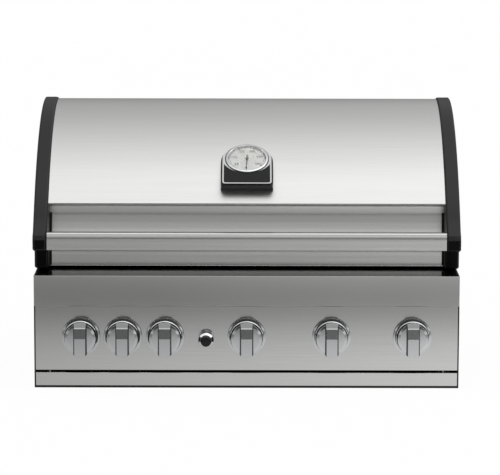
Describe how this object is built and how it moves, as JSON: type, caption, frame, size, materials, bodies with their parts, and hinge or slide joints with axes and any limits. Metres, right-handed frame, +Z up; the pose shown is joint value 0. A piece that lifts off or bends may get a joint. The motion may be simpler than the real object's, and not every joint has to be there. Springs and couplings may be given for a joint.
{
  "type": "built-in gas grill",
  "caption": "Stainless gas grill for a worktop cut-out: curved hood on rear hinges, firebox with burners and grates, push-and-turn knobs, igniter button and pull-out drip tray.",
  "frame": {"origin": "under the middle of the whole grill, level with the underside of the casing's base", "axes": "+X to the right as the cook sees the front, +Y away from the cook, +Z up; the control panel's face is the plane y = -0.264 m"},
  "size_m": [0.827, 0.61, 0.525],
  "materials": {
    "brushed_stainless": "brushed along the width",
    "polished_stainless": "polished",
    "plain_stainless": "mill",
    "black_cast_aluminium": "satin black coating",
    "black_enamelled_steel": "satin",
    "black_plastic": "moulded",
    "brass_fittings": "machined",
    "infrared_burner": "matt ceramic in a steel housing",
    "dial_enamel": "satin",
    "dial_glass": "clear"
  },
  "bodies": {
    "casing": {"casing_base": "black_enamelled_steel", "front_frame_left": "black_enamelled_steel", "front_frame_right": "black_enamelled_steel", "side_panel_left": "black_enamelled_steel", "side_panel_right": "black_enamelled_steel", "rear_panel": "black_enamelled_steel", "worktop_rail_left": "black_enamelled_steel", "worktop_rail_right": "black_enamelled_steel", "fascia_band": "brushed_stainless", "control_panel": "brushed_stainless", "firebox_liner": "plain_stainless", "cooking_grate_1": "plain_stainless", "cooking_grate_2": "plain_stainless", "cooking_grate_3": "plain_stainless", "main_burner_1": "plain_stainless", "main_burner_2": "plain_stainless", "main_burner_3": "plain_stainless", "main_burner_4": "plain_stainless", "main_burner_5": "plain_stainless", "heat_plates": "plain_stainless", "rear_burner": "infrared_burner", "warming_rack": "polished_stainless", "gas_manifold": "brass_fittings", "supply_pipe": "brass_fittings", "knob_bezel_1": "polished_stainless", "knob_bezel_2": "polished_stainless", "knob_bezel_3": "polished_stainless", "knob_bezel_4": "polished_stainless", "knob_bezel_5": "polished_stainless", "knob_bezel_6": "polished_stainless", "igniter_collar": "polished_stainless", "igniter_module": "black_plastic", "hinge_bracket_left": "plain_stainless", "hinge_bracket_right": "plain_stainless"},
    "hood": {"hood_skin": "brushed_stainless", "hood_liner": "plain_stainless", "hood_cap_left": "black_cast_aluminium", "hood_cap_right": "black_cast_aluminium", "hood_front_panel": "brushed_stainless", "hood_handle": "brushed_stainless", "gauge_base": "black_plastic", "gauge_plate": "polished_stainless", "gauge_dial": "dial_enamel", "gauge_lens": "dial_glass"},
    "gauge_pointer": {"gauge_needle": "black_plastic"},
    "stem_1": {"valve_stem_1": "brass_fittings"},
    "stem_2": {"valve_stem_2": "brass_fittings"},
    "stem_3": {"valve_stem_3": "brass_fittings"},
    "stem_4": {"valve_stem_4": "brass_fittings"},
    "stem_5": {"valve_stem_5": "brass_fittings"},
    "stem_6": {"valve_stem_6": "brass_fittings"},
    "grip_1": {"knob_1": "polished_stainless"},
    "grip_2": {"knob_2": "polished_stainless"},
    "grip_3": {"knob_3": "polished_stainless"},
    "grip_4": {"knob_4": "polished_stainless"},
    "grip_5": {"knob_5": "polished_stainless"},
    "grip_6": {"knob_6": "polished_stainless"},
    "tray": {"drip_tray": "plain_stainless", "drip_tray_front": "brushed_stainless"},
    "button": {"igniter_button": "black_plastic"}
  },
  "joints": [
    {"name": "hood_hinge", "type": "hinge", "parent": "casing", "child": "hood", "pos_m": [0, 0.277, 0.252], "axis": [-1, 0, 0], "range_deg": [0, 85]},
    {"name": "gauge_pointer_turn", "type": "hinge", "parent": "hood", "child": "gauge_pointer", "pos_m": [0, -0.13529, 0.42877], "axis": [0, 0.545, -0.8384], "range_deg": [0, 300], "stiffness_Nm_per_rad": 0.0005},
    {"name": "knob_push_1", "type": "slide", "parent": "casing", "child": "stem_1", "axis": [0, 1, 0], "range_m": [0, 0.003], "stiffness_N_per_m": 600},
    {"name": "knob_push_2", "type": "slide", "parent": "casing", "child": "stem_2", "axis": [0, 1, 0], "range_m": [0, 0.003], "stiffness_N_per_m": 600},
    {"name": "knob_push_3", "type": "slide", "parent": "casing", "child": "stem_3", "axis": [0, 1, 0], "range_m": [0, 0.003], "stiffness_N_per_m": 600},
    {"name": "knob_push_4", "type": "slide", "parent": "casing", "child": "stem_4", "axis": [0, 1, 0], "range_m": [0, 0.003], "stiffness_N_per_m": 600},
    {"name": "knob_push_5", "type": "slide", "parent": "casing", "child": "stem_5", "axis": [0, 1, 0], "range_m": [0, 0.003], "stiffness_N_per_m": 600},
    {"name": "knob_push_6", "type": "slide", "parent": "casing", "child": "stem_6", "axis": [0, 1, 0], "range_m": [0, 0.003], "stiffness_N_per_m": 600},
    {"name": "knob_turn_1", "type": "hinge", "parent": "stem_1", "child": "grip_1", "pos_m": [-0.3205, -0.29, 0.1015], "axis": [0, -1, 0], "range_deg": [0, 180]},
    {"name": "knob_turn_2", "type": "hinge", "parent": "stem_2", "child": "grip_2", "pos_m": [-0.23941, -0.29, 0.1015], "axis": [0, -1, 0], "range_deg": [0, 180]},
    {"name": "knob_turn_3", "type": "hinge", "parent": "stem_3", "child": "grip_3", "pos_m": [-0.15769, -0.29, 0.1015], "axis": [0, -1, 0], "range_deg": [0, 180]},
    {"name": "knob_turn_4", "type": "hinge", "parent": "stem_4", "child": "grip_4", "pos_m": [0, -0.29, 0.1015], "axis": [0, -1, 0], "range_deg": [0, 180]},
    {"name": "knob_turn_5", "type": "hinge", "parent": "stem_5", "child": "grip_5", "pos_m": [0.1641, -0.29, 0.1015], "axis": [0, -1, 0], "range_deg": [0, 180]},
    {"name": "knob_turn_6", "type": "hinge", "parent": "stem_6", "child": "grip_6", "pos_m": [0.3205, -0.29, 0.1015], "axis": [0, -1, 0], "range_deg": [0, 180]},
    {"name": "drip_tray_slide", "type": "slide", "parent": "casing", "child": "tray", "axis": [0, -1, 0], "range_m": [0, 0.36]},
    {"name": "igniter_press", "type": "slide", "parent": "casing", "child": "button", "axis": [0, 1, 0], "range_m": [0, 0.004], "stiffness_N_per_m": 500}
  ]
}
